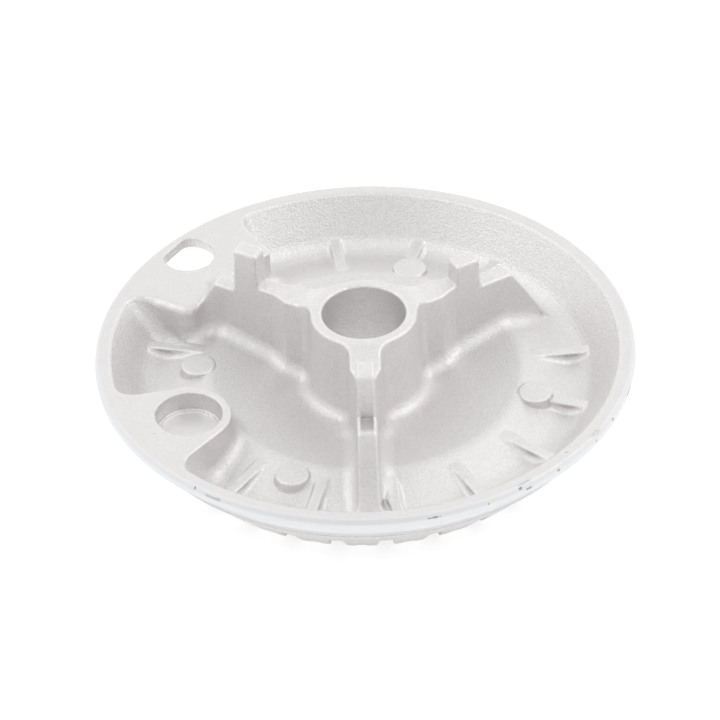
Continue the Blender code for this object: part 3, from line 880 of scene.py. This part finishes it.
def wear_on(s, place, turn, radius, height):
    """How dark the marks on the rim are at each spot, with ragged edges."""
    wear = 0.0
    ragged = s.sum("SUBTRACT", s.noise(place, RAGGED_SCALE, 2.0, 0.6), 0.5)
    ragged = s.sum("MULTIPLY", ragged, MARK_RAGGED)
    spot = s.node("ShaderNodeCombineXYZ", {"X": turn, "Y": radius, "Z": height}).outputs[0]
    for direction, at, level_at, wide, deep, tall, strength in MARKS:
        off = s.vector("SUBTRACT", spot, (direction, at, level_at)).outputs[0]
        off = s.vector("DIVIDE", off, (wide, deep, tall)).outputs[0]
        edge = s.sum("ADD", s.vector("LENGTH", off).outputs["Value"], ragged)
        mark = s.sum("MULTIPLY", s.band(edge, 1.0, 0.45), strength * MARK_SHARE)
        wear = mark if wear == 0.0 else s.sum("MAXIMUM", wear, mark)
    return wear


def cast_aluminium():
    """Bead-blasted casting with a turned, slightly blue rim, with painted light, painted shade and
    painted highlights in its colour.
    """
    material = bpy.data.materials.new("cast_aluminium_skin")
    material.use_nodes = True
    s = Sums(material)
    shader = s.nodes["Principled BSDF"]
    place = s.node("ShaderNodeTexCoord").outputs["Object"]
    axes = s.node("ShaderNodeSeparateXYZ", {"Vector": place})
    x, y, height = [s.sum("MULTIPLY", axes.outputs[axis], 1.0 / MM) for axis in "XYZ"]
    radius = s.length(x, y)
    turn = s.sum("DEGREES", s.sum("ARCTAN2", y, x))
    normal = s.node("ShaderNodeNewGeometry").outputs["Normal"]
    facing = s.node("ShaderNodeSeparateXYZ", {"Vector": normal}).outputs["Z"]

    # Turned skin behind the wall, and the level land that was faced in the same cut
    wall = s.sum("MULTIPLY", s.sum("SUBTRACT", height, WALL_FOOT[1]), WALL_RUN)
    behind = s.sum("SUBTRACT", radius, s.sum("ADD", wall, WALL_FOOT[0]))
    turned = s.both(s.band(behind, 1.9, 2.4), s.band(height, 9.6, 9.9))
    level = s.both(s.band(height, RIM - 0.2, RIM - 0.05), s.band(height, RIM + 0.2, RIM + 0.05))
    level = s.both(level, s.band(facing, 0.9, 0.98))
    machined = s.sum("MAXIMUM", turned, s.sum("MULTIPLY", level, 0.55))

    # Wall of the dish and floor of the pocket, both painted lighter as painted light, skirt under the
    # rim, and upright sides but the bore's, painted darker as painted shade
    walls = s.both(s.band(radius, 39.5, 42.5), s.band(height, RIM - 0.1, RIM - 0.7))
    centre_x, centre_y = turn_point(POCKET_PLACE, POCKET_DIRECTION)
    away = s.length(s.sum("SUBTRACT", x, centre_x), s.sum("SUBTRACT", y, centre_y))
    # Painted light on the pocket floor
    pocket_floor_light = s.both(s.band(away, POCKET_RADIUS, POCKET_RADIUS - 0.6), s.band(height, 13.2, 12.9))
    skirt = s.both(s.band(radius, 37.0, 38.0), s.band(height, 10.0, 9.6))
    skirt = s.both(skirt, s.band(facing, 0.3, 0.0))
    # Painted shade on upright sides, but not on the bore's
    upright = s.band(s.sum("ABSOLUTE", facing), 0.45, 0.15)
    upright = s.both(upright, s.band(radius, BORE_RADIUS + 0.55, BORE_RADIUS + 1.25))

    coarse = s.noise(place, COARSE_SCALE, 3.0)
    patch = s.noise(place, PATCH_SCALE, 3.0, 0.6)
    grain = s.noise(place, GRAIN_SCALE, 2.0, 0.6)
    grit = s.both(s.band(grain, 0.3, 0.7), s.sum("MULTIPLY_ADD", machined, -0.6, 1.0))
    stretched = s.node("ShaderNodeCombineXYZ", {
        "X": s.sum("MULTIPLY", turn, LATHE_STRETCH), "Y": height, "Z": radius})
    lathe = s.noise(stretched.outputs[0], LATHE_SCALE, 3.0, 0.7)
    wear = wear_on(s, place, turn, radius, height)
    # The bend lays painted shade in hollows and a painted highlight on edges
    bend = s.node("ShaderNodeAttribute", attribute_name="bend").outputs["Fac"]

    # Grain, patches, grit, skirt and machining are the metal's own tone; the walls and pocket floor
    # carry painted light, upright sides and hollows painted shade, and edges a painted highlight
    tone = s.total(
        TONE_BASE, (coarse, TONE_COARSE), (patch, TONE_PATCH), (grit, TONE_GRIT),
        (s.both(grit, walls), TONE_WALL_GRIT), (walls, TONE_WALL_LIGHT), (pocket_floor_light, TONE_POCKET_LIGHT),
        (skirt, TONE_SKIRT), (upright, TONE_UPRIGHT_SHADE), (machined, TONE_MACHINED),
        (s.band(bend, *HOLLOW_SHADE_BEND), TONE_HOLLOW_SHADE), (s.band(bend, *EDGE_HIGHLIGHT_BEND), TONE_EDGE_HIGHLIGHT))
    cast = s.blend(tone, CAST_LIGHT, CAST_DARK)
    cut = s.blend(s.sum("MULTIPLY", lathe, 0.35), TURNED_LIGHT, TURNED_DARK)
    s.feed(shader.inputs["Base Color"], s.blend(wear, s.blend(turned, cast, cut), MARK_DARK))

    cloud = s.sum("SUBTRACT", patch, 0.5)
    rough = s.total(ROUGH_CAST, (machined, ROUGH_MACHINED), (cloud, ROUGH_PATCH))
    s.feed(shader.inputs["Roughness"], rough)
    shader.inputs["Metallic"].default_value = 1.0

    blasted = s.sum("MULTIPLY_ADD", machined, -0.85, 1.0)
    bumps = s.total(
        0.0, (s.both(grit, blasted), BUMP_GRIT), (s.both(patch, blasted), BUMP_PATCH),
        (coarse, BUMP_COARSE), (s.both(lathe, turned), BUMP_LATHE), (wear, BUMP_MARK))
    relief = s.node("ShaderNodeBump", {"Height": bumps, "Distance": MM, "Strength": 1.0})
    s.feed(shader.inputs["Normal"], relief.outputs[0])
    return material


crown = crown_skin()
crown.data.materials.clear()
crown.data.materials.append(cast_aluminium())
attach(crown, "root")
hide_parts("burner_crown")


def camera():
    """Camera at the photograph's angle over the rim's plane, aimed at the rim's centre."""
    elevation, azimuth = math.radians(CAMERA_ELEVATION), math.radians(CAMERA_AZIMUTH)
    roll = math.radians(CAMERA_ROLL)
    out = math.cos(elevation)
    back = Vector((math.sin(azimuth) * out, -math.cos(azimuth) * out, math.sin(elevation)))
    level = Vector((math.cos(azimuth), math.sin(azimuth), 0.0))
    upright = back.cross(level)
    right = level * math.cos(roll) + upright * math.sin(roll)
    top = upright * math.cos(roll) - level * math.sin(roll)
    data = bpy.data.cameras.new("camera")
    data.sensor_width = SENSOR_WIDTH
    data.lens = CAMERA_LENS
    data.shift_x = 0.5 - RIM_CENTRE_IN_PICTURE[0] / PICTURE_SIZE
    data.shift_y = RIM_CENTRE_IN_PICTURE[1] / PICTURE_SIZE - 0.5
    data.clip_start = 0.01
    shot = bpy.data.objects.new("camera", data)
    matrix = Matrix((right, top, back)).transposed().to_4x4()
    matrix.translation = Vector((0.0, 0.0, RIM * MM)) + back * CAMERA_DISTANCE
    shot.matrix_world = matrix
    bpy.context.scene.collection.objects.link(shot)
    bpy.context.scene.camera = shot


def floor():
    """Pale floor that shows white to the camera and in the metal, and keeps a soft shadow."""
    mesh = bpy.data.meshes.new("floor")
    half = FLOOR_SIDE / 2
    corners = [(-half, -half, 0), (half, -half, 0), (half, half, 0), (-half, half, 0)]
    mesh.from_pydata(corners, [], [(0, 1, 2, 3)])
    ground = bpy.data.objects.new("floor", mesh)
    bpy.context.scene.collection.objects.link(ground)
    material = bpy.data.materials.new("floor_white")
    material.use_nodes = True
    s = Sums(material)
    shader = s.nodes["Principled BSDF"]
    shader.inputs["Base Color"].default_value = (FLOOR_TONE, FLOOR_TONE, FLOOR_TONE, 1.0)
    shader.inputs["Roughness"].default_value = 1.0
    shader.inputs["Specular IOR Level"].default_value = 0.0
    path = s.node("ShaderNodeLightPath")
    seen = s.sum("MULTIPLY", path.outputs["Is Camera Ray"], FLOOR_GLOW)
    mirrored = s.sum("MULTIPLY", path.outputs["Is Glossy Ray"], FLOOR_MIRRORED)
    glow = s.node("ShaderNodeEmission", {"Strength": s.sum("ADD", seen, mirrored)})
    both = s.node("ShaderNodeAddShader", {0: shader.outputs[0], 1: glow.outputs[0]})
    s.feed(s.nodes["Material Output"].inputs["Surface"], both.outputs[0])
    mesh.materials.append(material)


def lights():
    """Soft sky, brightest at the back, and a wide soft lamp high on each side."""
    world = bpy.data.worlds.new("surround")
    bpy.context.scene.world = world
    world.use_nodes = True
    s = Sums(world)
    background = s.nodes["Background"]
    background.inputs["Color"].default_value = (1.0, 1.0, 1.0, 1.0)
    direction = s.node("ShaderNodeTexCoord").outputs["Generated"]
    axes = s.node("ShaderNodeSeparateXYZ", {"Vector": direction})
    top = s.band(axes.outputs["Z"], 0.6, 1.0)
    left = s.sum("MAXIMUM", s.sum("MULTIPLY", axes.outputs["X"], -1.0), 0.0)
    back = s.sum("MAXIMUM", axes.outputs["Y"], 0.0)
    front = s.sum("MAXIMUM", s.sum("MULTIPLY", axes.outputs["Y"], -1.0), 0.0)
    sky = s.total(SKY_LEVEL, (top, SKY_TOP), (left, SKY_LEFT), (back, SKY_BACK), (front, SKY_FRONT))
    camera_ray = s.node("ShaderNodeLightPath").outputs["Is Camera Ray"]
    shown = s.node("ShaderNodeMix", {"Factor": camera_ray, "A": sky, "B": 1.0})
    s.feed(background.inputs["Strength"], shown.outputs[0])
    for side, watts in ((-1, LEFT_LAMP_WATTS), (1, RIGHT_LAMP_WATTS)):
        data = bpy.data.lights.new("side_lamp", "AREA")
        data.size = LAMP_SIZE
        data.energy = watts
        lamp = bpy.data.objects.new("side_lamp", data)
        lamp.location = (LAMP_PLACE[0] * side, LAMP_PLACE[1], LAMP_PLACE[2])
        lamp.rotation_euler = (-lamp.location).to_track_quat("-Z", "Y").to_euler()
        bpy.context.scene.collection.objects.link(lamp)


camera()
floor()
lights()
bpy.context.scene.view_settings.view_transform = "Standard"
